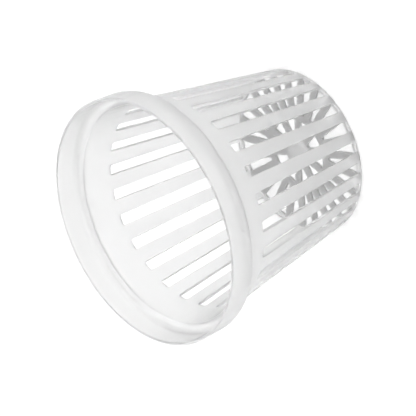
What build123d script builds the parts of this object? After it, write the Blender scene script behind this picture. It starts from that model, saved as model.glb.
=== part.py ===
from build123d import *
import math
import os

# A slotted net pot for growing plants in water, moulded in one piece.
# It stands on its floor with its mouth up. The origin is the middle of the floor's underside,
# +Z runs up the axis, and one wall slot is centred on -Y.

# Driving dimensions of the section, in millimetres
BASE_DIAMETER = 38.5        # outside of the body at the floor's underside
BODY_TOP_DIAMETER = 50.8    # outside of the body at the shoulder
BODY_HEIGHT = 42.0          # from the floor's underside to the shoulder's underside
SHOULDER_WIDTH = 2.4        # flat step from the body out to the collar
COLLAR_HEIGHT = 6.0         # from the shoulder's underside to the rim
COLLAR_LEAN = 0.2           # how far the collar widens on its way up to the rim
WALL = 0.7                  # thickness of the body and the collar, square to the face
SHOULDER = 0.8              # thickness of the step
FLOOR = 0.7                 # thickness of the floor
LEDGE_FILLET = 1.4          # radius inside, where the collar meets the step
BASE_BEVEL = 0.55           # the floor's outer edge
RIM_BEVEL = 0.2             # both edges of the rim
SHOULDER_BEVEL = 0.25       # the collar's lower outer edge

# Slots in the wall
SLOT_COUNT = 25
SLOT_WIDTH = 2.5
SLOT_SILL = 0.35            # solid wall between the floor and the slots
SLOT_BAND = 6.4             # solid wall between the slots and the shoulder's underside

# Openings in the floor: an outer ring of them in line with the slots, and an inner ring round the hub
FLOOR_MARGIN = 0.45         # solid floor between the openings and the wall
SPOKE_WIDTH = 1.65          # bars between the openings
TIP_WIDTH = 0.75            # narrow end of each opening
RING_WIDTH = 1.7            # solid ring between the outer and the inner openings
INNER_COUNT = 10            # openings round the hub

# Worked out from the driving dimensions
base_radius = BASE_DIAMETER / 2
body_top_radius = BODY_TOP_DIAMETER / 2
collar_radius = body_top_radius + SHOULDER_WIDTH
rim_radius = collar_radius + COLLAR_LEAN
rim_height = BODY_HEIGHT + COLLAR_HEIGHT
ledge_height = BODY_HEIGHT + SHOULDER
body_slope = (body_top_radius - base_radius) / BODY_HEIGHT
collar_slope = COLLAR_LEAN / COLLAR_HEIGHT
slot_bottom = FLOOR + SLOT_SILL
slot_top = BODY_HEIGHT - SLOT_BAND


def inside_body(height):
    """Radius of the body's inner face at a height."""
    across_wall = WALL * math.hypot(1, body_slope)
    return base_radius + body_slope * height - across_wall


def inside_collar(height):
    """Radius of the collar's inner face at a height."""
    across_wall = WALL * math.hypot(1, collar_slope)
    return collar_radius + collar_slope * (height - BODY_HEIGHT) - across_wall


def tip_radius(count):
    """Radius at which the gaps between the floor's spokes have narrowed to the tip width."""
    return count * (SPOKE_WIDTH + TIP_WIDTH) / (2 * math.pi)


def section():
    """Half of the pot's section, from the axis outwards, with its edges rounded and bevelled."""
    floor_edge = (base_radius, 0)
    neck = (body_top_radius, BODY_HEIGHT)
    collar_foot = (collar_radius, BODY_HEIGHT)
    rim_outside = (rim_radius, rim_height)
    rim_inside = (inside_collar(rim_height), rim_height)
    ledge_outside = (inside_collar(ledge_height), ledge_height)
    ledge_inside = (inside_body(ledge_height), ledge_height)
    floor_corner = (inside_body(FLOOR), FLOOR)
    outside = [(0, 0), floor_edge, neck, collar_foot, rim_outside]
    inside = [rim_inside, ledge_outside, ledge_inside, floor_corner, (0, FLOOR)]
    ledge_width = ledge_outside[0] - ledge_inside[0]
    ledge_fillet = min(LEDGE_FILLET, 0.8 * ledge_width)
    rim_bevel = min(RIM_BEVEL, 0.4 * WALL)
    bevels = [
        (floor_edge, BASE_BEVEL),
        (collar_foot, SHOULDER_BEVEL),
        (rim_outside, rim_bevel),
        (rim_inside, rim_bevel),
    ]
    with BuildSketch(Plane.XZ) as half:
        with BuildLine():
            Polyline(*outside, *inside, close=True)
        make_face()
        fillet(half.vertices().sort_by_distance(ledge_outside)[0], ledge_fillet)
        for point, length in bevels:
            chamfer(half.vertices().sort_by_distance(point)[0], length)
    return half.sketch


def wall_slot():
    """A bar that cuts one slot, from just inside the wall out through it on the -Y side."""
    start = min(inside_body(slot_bottom), inside_body(slot_top)) - WALL
    with BuildPart() as bar:
        with BuildSketch(Plane.XZ.offset(start)):
            with Locations((0, slot_bottom)):
                Rectangle(SLOT_WIDTH, slot_top - slot_bottom, align=(Align.CENTER, Align.MIN))
        extrude(amount=rim_radius - start)
    return bar.part


def floor_openings(outer_radius, count):
    """Tapered openings in a ring of the floor, one of them centred on -Y, with spokes between them."""
    first_spoke = -90 + 180 / count
    with BuildSketch() as ring:
        Circle(outer_radius)
        Circle(tip_radius(count), mode=Mode.SUBTRACT)
        with PolarLocations(0, count, start_angle=first_spoke):
            Rectangle(2 * outer_radius, SPOKE_WIDTH, align=(Align.MIN, Align.CENTER), mode=Mode.SUBTRACT)
    return ring.sketch


def net_pot():
    """The whole pot: its section turned round the axis, then the slots and the floor's openings cut."""
    outer_openings = floor_openings(inside_body(FLOOR) - FLOOR_MARGIN, SLOT_COUNT)
    inner_openings = floor_openings(tip_radius(SLOT_COUNT) - RING_WIDTH, INNER_COUNT)
    with BuildPart() as pot:
        add(section())
        revolve(axis=Axis.Z)
        slot = wall_slot()
        with PolarLocations(0, SLOT_COUNT):
            add(slot, mode=Mode.SUBTRACT)
        extrude([*outer_openings.faces(), *inner_openings.faces()], amount=FLOOR, mode=Mode.SUBTRACT)
    return pot.part


os.makedirs("parts", exist_ok=True)
export_step(net_pot(), "parts/net_pot.step")
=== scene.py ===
import bmesh
import bpy
import math
from mathutils import Matrix, Vector


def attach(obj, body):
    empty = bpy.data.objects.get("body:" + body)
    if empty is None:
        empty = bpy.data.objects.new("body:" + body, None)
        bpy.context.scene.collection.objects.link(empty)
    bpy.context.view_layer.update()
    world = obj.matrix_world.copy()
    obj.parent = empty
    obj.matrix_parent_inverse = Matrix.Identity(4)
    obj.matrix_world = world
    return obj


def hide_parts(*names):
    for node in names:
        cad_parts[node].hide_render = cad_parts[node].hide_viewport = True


# One translucent net pot, standing on a pale floor. The camera is turned on its side, so that the pot
# lies across the picture as it does in the photograph.

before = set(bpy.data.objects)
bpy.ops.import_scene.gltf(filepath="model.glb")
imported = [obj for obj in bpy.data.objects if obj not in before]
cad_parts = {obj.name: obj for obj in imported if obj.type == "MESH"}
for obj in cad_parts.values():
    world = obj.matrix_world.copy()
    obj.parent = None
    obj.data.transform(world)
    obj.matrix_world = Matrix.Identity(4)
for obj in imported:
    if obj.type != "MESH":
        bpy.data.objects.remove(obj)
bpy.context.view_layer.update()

MM = 0.001

# Sizes of the pot, in millimetres, as the solid has them
BASE_RADIUS = 19.25         # outside of the body at the floor's underside
BODY_TOP_RADIUS = 25.4      # outside of the body at the shoulder
BODY_HEIGHT = 42.0          # from the floor's underside to the shoulder's underside
SHOULDER_WIDTH = 2.4        # flat step from the body out to the collar
COLLAR_HEIGHT = 6.0         # from the shoulder's underside to the rim
COLLAR_LEAN = 0.2           # how far the collar widens on its way up to the rim
WALL = 0.7                  # thickness of the body and the collar, square to the face
SHOULDER = 0.8              # thickness of the step
FLOOR = 0.7                 # thickness of the pot's floor
LEDGE_FILLET = 1.4          # inside, where the collar meets the step
SLOT_COUNT = 25
SLOT_WIDTH = 2.5
SLOT_SILL = 0.35            # solid wall between the floor and the slots
SLOT_BAND = 6.4             # solid wall between the slots and the shoulder's underside
FLOOR_MARGIN = 0.45         # solid floor between the openings and the wall
SPOKE_WIDTH = 1.65          # bars between the floor's openings
TIP_WIDTH = 0.75            # narrow end of each opening
RING_WIDTH = 1.7            # solid ring between the outer and the inner openings
INNER_COUNT = 10            # openings round the hub

# Fine roundings of the visible surface, in millimetres: the solid has bevels or sharp edges there
BASE_ROUND = 0.35           # the floor's outer edge
FLOOR_FILLET = 0.15         # inside, where the wall meets the floor
NECK_FILLET = 0.25          # outside, where the body meets the shoulder
SHOULDER_ROUND = 0.3        # the collar's lower outer edge
RIM_ROUND = 0.28            # both edges of the rim
LEDGE_ROUND = 0.35          # the ledge's inner edge
OPENING_ROUND = 0.1         # all edges of the slots and the floor's openings
SLOT_CORNER = 0.45          # corners of the slots, seen from the front
OPENING_CORNER = 0.3        # corners of the floor's openings, seen from above

# A shallow dimple under the hub, where the plastic came in, with a small cone left in its middle
GATE_RADIUS = 1.6
GATE_DEPTH = 0.22
GATE_ROUND = 0.1
CONE_RADIUS = GATE_RADIUS / 3
CONE_HEIGHT = GATE_DEPTH / 2

# How finely the surface is divided
COLUMNS = 300               # round the pot: a whole number for each slot and each inner opening
CORNER_STEPS = 4            # round each corner of an opening
ROUND_STEPS = 3             # over the edge of an opening
ARC_STEPS = 5               # round each edge of the section
SLOT_STEPS = 30             # along each slot
OUTER_STEPS = 16            # along each outer opening of the floor
INNER_STEPS = 14            # along each inner opening of the floor
PANEL_STEPS = (0.0, 0.35, 0.7, 0.9, 1.0)    # shares of the way from a panel's border to its opening
WELD = 0.002                # points closer than this, in millimetres, become one

# How far the panels round the openings reach past them, in millimetres
PANEL_BELOW = 0.13          # down from the slots
PANEL_ABOVE = 0.8           # up from the slots
PANEL_OUTSIDE = 0.185       # out from the floor's outer openings
PANEL_INSIDE = 0.6          # in from the floor's inner openings

# Worked out from the sizes
COLLAR_RADIUS = BODY_TOP_RADIUS + SHOULDER_WIDTH
RIM_RADIUS = COLLAR_RADIUS + COLLAR_LEAN
RIM_HEIGHT = BODY_HEIGHT + COLLAR_HEIGHT
LEDGE_HEIGHT = BODY_HEIGHT + SHOULDER
SLOT_BOTTOM = FLOOR + SLOT_SILL
SLOT_TOP = BODY_HEIGHT - SLOT_BAND
BODY_SLOPE = (BODY_TOP_RADIUS - BASE_RADIUS) / BODY_HEIGHT
COLLAR_SLOPE = COLLAR_LEAN / COLLAR_HEIGHT
FIRST_SLOT = math.radians(-90)      # its middle is on -Y


def outside_body(z):
    """Radius of the body's outer face at a height."""
    return BASE_RADIUS + BODY_SLOPE * z


def inside_body(z):
    """Radius of the body's inner face at a height."""
    return outside_body(z) - WALL * math.hypot(1, BODY_SLOPE)


def inside_collar(z):
    """Radius of the collar's inner face at a height."""
    return COLLAR_RADIUS + COLLAR_SLOPE * (z - BODY_HEIGHT) - WALL * math.hypot(1, COLLAR_SLOPE)


def tip_radius(count):
    """Radius at which the gaps between the floor's spokes have narrowed to the tip width."""
    return count * (SPOKE_WIDTH + TIP_WIDTH) / (2 * math.pi)


# Inner and outer radius of the two rings of openings in the floor
OUTER_RING = (tip_radius(SLOT_COUNT), inside_body(FLOOR) - FLOOR_MARGIN)
INNER_RING = (tip_radius(INNER_COUNT), tip_radius(SLOT_COUNT) - RING_WIDTH)

# Where the panels round the openings meet each other and the plain bands of the surface
PANEL_BOTTOM = SLOT_BOTTOM - PANEL_BELOW
PANEL_TOP = SLOT_TOP + PANEL_ABOVE
FLOOR_EDGE = OUTER_RING[1] + PANEL_OUTSIDE
RING_MIDDLE = (OUTER_RING[0] + INNER_RING[1]) / 2
HUB_EDGE = INNER_RING[0] - PANEL_INSIDE


class Surface:
    """Rows of points joined by faces, welded at the end into one closed skin."""

    def __init__(self):
        self.points = []
        self.faces = []

    def add_rows(self, rows):
        """Joins each closed row of points to the next one."""
        start = len(self.points)
        count = len(rows[0])
        for row in rows:
            self.points.extend(row)
        for r in range(len(rows) - 1):
            near = start + r * count
            far = near + count
            for c in range(count):
                d = (c + 1) % count
                self.faces.append((near + c, near + d, far + d, far + c))

    def add_fan(self, row, middle):
        """Closes a row with triangles that meet in one point."""
        start = len(self.points)
        count = len(row)
        self.points.extend(row)
        self.points.append(middle)
        for c in range(count):
            self.faces.append((start + c, start + (c + 1) % count, start + count))

    def mesh(self, name):
        """The welded mesh, in metres."""
        work = bmesh.new()
        points = [work.verts.new(p) for p in self.points]
        for face in self.faces:
            work.faces.new([points[i] for i in face])
        bmesh.ops.remove_doubles(work, verts=work.verts, dist=WELD)
        bmesh.ops.recalc_face_normals(work, faces=work.faces)
        bmesh.ops.scale(work, vec=(MM, MM, MM), verts=work.verts)
        for face in work.faces:
            face.smooth = True
        mesh = bpy.data.meshes.new(name)
        work.to_mesh(mesh)
        work.free()
        return mesh


def at(radius, angle, z):
    """A point at a radius, an angle round the axis and a height."""
    return (radius * math.cos(angle), radius * math.sin(angle), z)


def mix(a, b, share):
    """A point between two points."""
    return tuple(p + (q - p) * share for p, q in zip(a, b))


def toward(a, b, length):
    """The point at a length from a on the way to b."""
    return mix(a, b, length / math.dist(a, b))


def bend(a, corner, b, share):
    """A point on the smooth curve from a to b that a corner pulls on."""
    return mix(mix(a, corner, share), mix(corner, b, share), share)


def rounded_path(corners):
    """A path through corners of a section, each given as radius, height and size of its rounding."""
    path = []
    for k, (r, z, size) in enumerate(corners):
        if size == 0:
            path.append((r, z))
            continue
        here = Vector((r, z))
        back = (Vector(corners[k - 1][:2]) - here).normalized()
        ahead = (Vector(corners[k + 1][:2]) - here).normalized()
        half = back.angle(ahead) / 2
        centre = here + (back + ahead).normalized() * size / math.sin(half)
        start = here + back * size / math.tan(half) - centre
        stop = here + ahead * size / math.tan(half) - centre
        for s in range(ARC_STEPS + 1):
            spoke = start.slerp(stop, s / ARC_STEPS).normalized()
            path.append(tuple(centre + spoke * size))
    return path


def turned(path):
    """Rows of points for a path that is turned round the axis."""
    first = FIRST_SLOT - math.pi / SLOT_COUNT
    angles = [first + 2 * math.pi * c / COLUMNS for c in range(COLUMNS)]
    return [[at(r, a, z) for a in angles] for r, z in path]


def panel_frame(half_angle, low, high, across, along):
    """Points round a panel's four edges, as angle and place along it."""
    corners = [(-half_angle, low), (half_angle, low), (half_angle, high), (-half_angle, high)]
    points = []
    for k, count in enumerate((across, along, across, along)):
        for s in range(count):
            points.append(mix(corners[k], corners[(k + 1) % 4], s / count))
    return points


def hole_edge(low, high, low_half, high_half, cut, across, along):
    """Points round an opening with rounded corners, as offset from its middle line and place along it."""
    corners = [(-low_half, low), (low_half, low), (high_half, high), (-high_half, high)]
    half = CORNER_STEPS // 2
    points = []
    for k, count in enumerate((across, along, across, along)):
        before, here, there, after = (corners[(k + i) % 4] for i in (-1, 0, 1, 2))
        start = toward(here, there, cut)
        stop = toward(there, here, cut)
        straight = count - 2 * half
        for s in range(half):
            points.append(bend(toward(here, before, cut), here, start, 0.5 + s / CORNER_STEPS))
        for s in range(straight):
            points.append(mix(start, stop, s / straight))
        for s in range(half):
            points.append(bend(stop, there, toward(there, after, cut), s / CORNER_STEPS))
    return points


def add_panels(surface, count, span, hole, place, radius, thickness, across, along):
    """Rings a row of openings with panels: both faces, the rounded edges and the opening's sides.

    Each panel reaches over a span from its low to its high end, and is divided into across and along
    steps. hole(grow) gives the opening's edge, grown by a length. place(angle, t, depth) gives a point
    and radius(t, depth) its distance from the axis, at a place t of the span, with depth 0 on one face
    and 1 on the other.
    """
    border = panel_frame(math.pi / count, *span, across, along)
    turns = [math.pi / 2 * s / ROUND_STEPS for s in range(1, ROUND_STEPS + 1)]

    def hole_row(grow, depth):
        return [(math.asin(p / radius(t, depth)), t) for p, t in hole(grow)]

    def face_rows(depth):
        rim = hole_row(OPENING_ROUND, depth)
        return [([mix(b, h, s) for b, h in zip(border, rim)], depth) for s in PANEL_STEPS]

    def edge_rows(face):
        rows = []
        for turn in turns:
            grow = OPENING_ROUND * (1 - math.sin(turn))
            depth = abs(face - OPENING_ROUND * (1 - math.cos(turn)) / thickness)
            rows.append((hole_row(grow, depth), depth))
        return rows

    first_face = face_rows(0) + edge_rows(0)
    second_face = face_rows(1) + edge_rows(1)
    rows = first_face + second_face[::-1]
    for k in range(count):
        middle = FIRST_SLOT + 2 * math.pi * k / count
        surface.add_rows([[place(middle + a, t, d) for a, t in row] for row, d in rows])


def wall_panels(surface):
    """The slotted part of the wall."""
    across = COLUMNS // SLOT_COUNT
    span = (PANEL_BOTTOM, PANEL_TOP)

    def hole(grow):
        half = SLOT_WIDTH / 2 + grow
        ends = (SLOT_BOTTOM - grow, SLOT_TOP + grow)
        return hole_edge(*ends, half, half, SLOT_CORNER + grow, across, SLOT_STEPS)

    def radius(z, depth):
        return outside_body(z) + (inside_body(z) - outside_body(z)) * depth

    def place(angle, z, depth):
        return at(radius(z, depth), angle, z)

    add_panels(surface, SLOT_COUNT, span, hole, place, radius, WALL, across, SLOT_STEPS)


def floor_panels(surface, count, ring, span, along):
    """One ring of the floor's openings."""
    across = COLUMNS // count

    def half_width(radius, grow):
        spoke = SPOKE_WIDTH / 2 - grow
        return radius * math.sin(math.pi / count - math.asin(spoke / radius))

    def hole(grow):
        low = ring[0] - grow
        high = ring[1] + grow
        halves = (half_width(low, grow), half_width(high, grow))
        return hole_edge(low, high, *halves, OPENING_CORNER + grow, across, along)

    def place(angle, radius, depth):
        return at(radius, angle, FLOOR * (1 - depth))

    add_panels(surface, count, span, hole, place, lambda radius, depth: radius, FLOOR, across, along)


def plain_bands(surface):
    """The bands without openings: the floor's outer edge, inside and outside, and all above the slots."""
    base = [
        (FLOOR_EDGE, 0, 0),
        (BASE_RADIUS, 0, BASE_ROUND),
        (outside_body(PANEL_BOTTOM), PANEL_BOTTOM, 0),
    ]
    inner_base = [
        (inside_body(PANEL_BOTTOM), PANEL_BOTTOM, 0),
        (inside_body(FLOOR), FLOOR, FLOOR_FILLET),
        (FLOOR_EDGE, FLOOR, 0),
    ]
    top = [
        (outside_body(PANEL_TOP), PANEL_TOP, 0),
        (BODY_TOP_RADIUS, BODY_HEIGHT, NECK_FILLET),
        (COLLAR_RADIUS, BODY_HEIGHT, SHOULDER_ROUND),
        (RIM_RADIUS, RIM_HEIGHT, RIM_ROUND),
        (inside_collar(RIM_HEIGHT), RIM_HEIGHT, RIM_ROUND),
        (inside_collar(LEDGE_HEIGHT), LEDGE_HEIGHT, LEDGE_FILLET),
        (inside_body(LEDGE_HEIGHT), LEDGE_HEIGHT, LEDGE_ROUND),
        (inside_body(PANEL_TOP), PANEL_TOP, 0),
    ]
    for corners in (base, inner_base, top):
        surface.add_rows(turned(rounded_path(corners)))


def hub(surface):
    """The middle of the floor, with the dimple on its underside."""
    upper = turned([(HUB_EDGE, FLOOR), (HUB_EDGE / 2, FLOOR)])
    surface.add_rows(upper)
    surface.add_fan(upper[-1], (0, 0, FLOOR))
    dimple = [
        (HUB_EDGE, 0, 0),
        (GATE_RADIUS, 0, GATE_ROUND),
        (GATE_RADIUS - GATE_DEPTH, GATE_DEPTH, GATE_ROUND),
        (CONE_RADIUS, GATE_DEPTH, 0),
    ]
    lower = turned(rounded_path(dimple))
    surface.add_rows(lower)
    surface.add_fan(lower[-1], (0, 0, GATE_DEPTH - CONE_HEIGHT))


def pot_mesh():
    """The pot's whole skin."""
    surface = Surface()
    wall_panels(surface)
    floor_panels(surface, SLOT_COUNT, OUTER_RING, (RING_MIDDLE, FLOOR_EDGE), OUTER_STEPS)
    floor_panels(surface, INNER_COUNT, INNER_RING, (HUB_EDGE, RING_MIDDLE), INNER_STEPS)
    plain_bands(surface)
    hub(surface)
    return surface.mesh("net_pot_skin")


# The plastic's look
PLASTIC_SHADES = (0.935, 0.968)     # darker and lighter grey of its base colour
PLASTIC_ROUGHNESS = (0.3, 0.42)     # along its draw lines
PLASTIC_IOR = 1.49
CLEARNESS = 0.75                    # how much of it acts as clear plastic
MILKINESS = 0.6                     # how much of the rest scatters light inside
SCATTER_RADIUS = (1, 1, 1)          # the same for red, green and blue
SCATTER_DEPTH = 0.003               # in metres
BUMP_STRENGTH = 0.05
BUMP_DISTANCE = 0.0001              # in metres

# Noise textures: scale in features per metre, and detail
FLOW_MARKS = (70, 3)
DRAW_LINES = (900, 2)
FINE_GRAIN = (1400, 2)
SWEEP_CLOUDS = (4, 2)
DRAW_STRETCH = (1, 1, 0.03)         # turns grains into lines up the wall
NOISE_RANGE = (0.3, 0.7)            # most of a noise's values lie in it

# The pale floor that the pot stands on
SWEEP_WIDTH = 6.0                   # in metres
SWEEP_SHADES = (0.9, 0.93)
SWEEP_ROUGHNESS = 0.9
SWEEP_GLOW = 0.095
WHITE = (1, 1, 1, 1)


def link(nodes, source, output, target, socket):
    """Joins two shader nodes by the names of their sockets."""
    nodes.id_data.links.new(source.outputs[output], target.inputs[socket])


def noise(nodes, coordinates, pattern, stretch=(1, 1, 1)):
    """A noise texture of a scale and a detail, stretched along the axes."""
    mapping = nodes.new("ShaderNodeMapping")
    mapping.inputs["Scale"].default_value = stretch
    texture = nodes.new("ShaderNodeTexNoise")
    scale, detail = pattern
    texture.inputs["Scale"].default_value = scale
    texture.inputs["Detail"].default_value = detail
    link(nodes, coordinates, "Object", mapping, "Vector")
    link(nodes, mapping, "Vector", texture, "Vector")
    return texture


def spread(nodes, texture, values):
    """A noise's value, spread over a range of values."""
    node = nodes.new("ShaderNodeMapRange")
    for side, limit, value in zip(("Min", "Max"), NOISE_RANGE, values):
        node.inputs["From " + side].default_value = limit
        node.inputs["To " + side].default_value = value
    link(nodes, texture, "Fac", node, "Value")
    return node


def tint(nodes, texture, shades):
    """A grey that wanders between two shades with a noise."""
    ramp = nodes.new("ShaderNodeValToRGB")
    for element, limit, shade in zip(ramp.color_ramp.elements, NOISE_RANGE, shades):
        element.position = limit
        element.color = (shade, shade, shade, 1)
    link(nodes, texture, "Fac", ramp, "Fac")
    return ramp


def bump(nodes, texture):
    """A faint relief that follows a noise."""
    node = nodes.new("ShaderNodeBump")
    node.inputs["Strength"].default_value = BUMP_STRENGTH
    node.inputs["Distance"].default_value = BUMP_DISTANCE
    link(nodes, texture, "Fac", node, "Height")
    return node


def new_material(name):
    """A new material: itself, its nodes, its shader and object coordinates."""
    material = bpy.data.materials.new(name)
    material.use_nodes = True
    nodes = material.node_tree.nodes
    coordinates = nodes.new("ShaderNodeTexCoord")
    return material, nodes, nodes["Principled BSDF"], coordinates


def milky_plastic():
    """Natural polypropylene: milky, satin and translucent, with faint flow marks, draw lines and grain."""
    material, nodes, shader, coordinates = new_material("milky_plastic")
    flow = noise(nodes, coordinates, FLOW_MARKS)
    draw = noise(nodes, coordinates, DRAW_LINES, DRAW_STRETCH)
    grain = noise(nodes, coordinates, FINE_GRAIN)

    link(nodes, tint(nodes, flow, PLASTIC_SHADES), "Color", shader, "Base Color")
    link(nodes, spread(nodes, draw, PLASTIC_ROUGHNESS), "Result", shader, "Roughness")
    draw_bump = bump(nodes, draw)
    grain_bump = bump(nodes, grain)
    link(nodes, draw_bump, "Normal", grain_bump, "Normal")
    link(nodes, grain_bump, "Normal", shader, "Normal")

    shader.inputs["IOR"].default_value = PLASTIC_IOR
    shader.inputs["Transmission Weight"].default_value = CLEARNESS
    shader.inputs["Subsurface Weight"].default_value = MILKINESS
    shader.inputs["Subsurface Radius"].default_value = SCATTER_RADIUS
    shader.inputs["Subsurface Scale"].default_value = SCATTER_DEPTH
    return material


def pale_floor():
    """A matt white that glows a little, with a barely visible tone in it."""
    material, nodes, shader, coordinates = new_material("pale_floor")
    clouds = noise(nodes, coordinates, SWEEP_CLOUDS)
    link(nodes, tint(nodes, clouds, SWEEP_SHADES), "Color", shader, "Base Color")
    shader.inputs["Roughness"].default_value = SWEEP_ROUGHNESS
    shader.inputs["Emission Color"].default_value = WHITE
    shader.inputs["Emission Strength"].default_value = SWEEP_GLOW
    return material


def build_pot():
    """The visible pot, which stands for the solid."""
    pot = bpy.data.objects.new("net_pot_skin", pot_mesh())
    bpy.context.scene.collection.objects.link(pot)
    pot.data.materials.append(milky_plastic())
    pot.modifiers.new("even_normals", "WEIGHTED_NORMAL").keep_sharp = False
    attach(pot, "root")
    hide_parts("net_pot")


def build_floor():
    """The floor that the pot stands on."""
    bpy.ops.mesh.primitive_plane_add(size=SWEEP_WIDTH, location=(0, 0, 0))
    floor = bpy.context.object
    floor.name = "floor"
    floor.data.materials.append(pale_floor())


# Soft boxes round the pot, all facing its middle: name, place and width in metres, power in watts
POT_MIDDLE = Vector((0, 0, RIM_HEIGHT * MM / 2))
SOFT_BOXES = [
    ("left_box", (-0.45, -0.25, 0.35), 0.6, 0.3),
    ("mouth_box", (-0.04, -0.08, 0.2), 0.2, 0.15),
    ("top_box", (0.12, 0.1, 0.8), 0.9, 3.0),
    ("low_box", (-0.5, 0.05, 0.12), 0.4, 1.25),
    ("right_box", (0.45, -0.1, 0.3), 0.5, 1.23),
]
ROOM_LIGHT = 0.44


def build_lights():
    """The soft boxes and an even white room."""
    for name, place, width, power in SOFT_BOXES:
        lamp = bpy.data.lights.new(name, "AREA")
        lamp.shape = "SQUARE"
        lamp.size = width
        lamp.energy = power
        box = bpy.data.objects.new(name, lamp)
        box.location = place
        box.rotation_euler = (POT_MIDDLE - Vector(place)).to_track_quat("-Z", "Y").to_euler()
        bpy.context.scene.collection.objects.link(box)
    world = bpy.data.worlds.new("room")
    world.use_nodes = True
    background = world.node_tree.nodes["Background"]
    background.inputs["Color"].default_value = WHITE
    background.inputs["Strength"].default_value = ROOM_LIGHT
    bpy.context.scene.world = world


# The camera, in metres: fitted to the photograph, then aimed at the one pot and zoomed in on it
CAMERA_PLACE = Vector((-0.0094, -0.4244, 0.3508))
CAMERA_AIM = Vector((-0.00295, 0.00305, 0.0279))
CAMERA_UP = Vector((0.9031, -0.2542, -0.347))
CLIP_START = 0.01

# Its lens and its sensor's width, in millimetres
CAMERA_LENS = 212.0
SENSOR_WIDTH = 36.0


def build_camera():
    """A long lens, turned so that the pot's mouth is on the left of the picture."""
    lens = bpy.data.cameras.new("camera")
    lens.lens = CAMERA_LENS
    lens.sensor_width = SENSOR_WIDTH
    lens.clip_start = CLIP_START
    camera = bpy.data.objects.new("camera", lens)
    back = (CAMERA_PLACE - CAMERA_AIM).normalized()
    right = CAMERA_UP.cross(back).normalized()
    up = back.cross(right)
    turn = Matrix((right, up, back)).transposed().to_4x4()
    camera.matrix_world = Matrix.Translation(CAMERA_PLACE) @ turn
    bpy.context.scene.collection.objects.link(camera)
    bpy.context.scene.camera = camera


build_pot()
build_floor()
build_lights()
build_camera()
bpy.context.scene.view_settings.view_transform = "Standard"
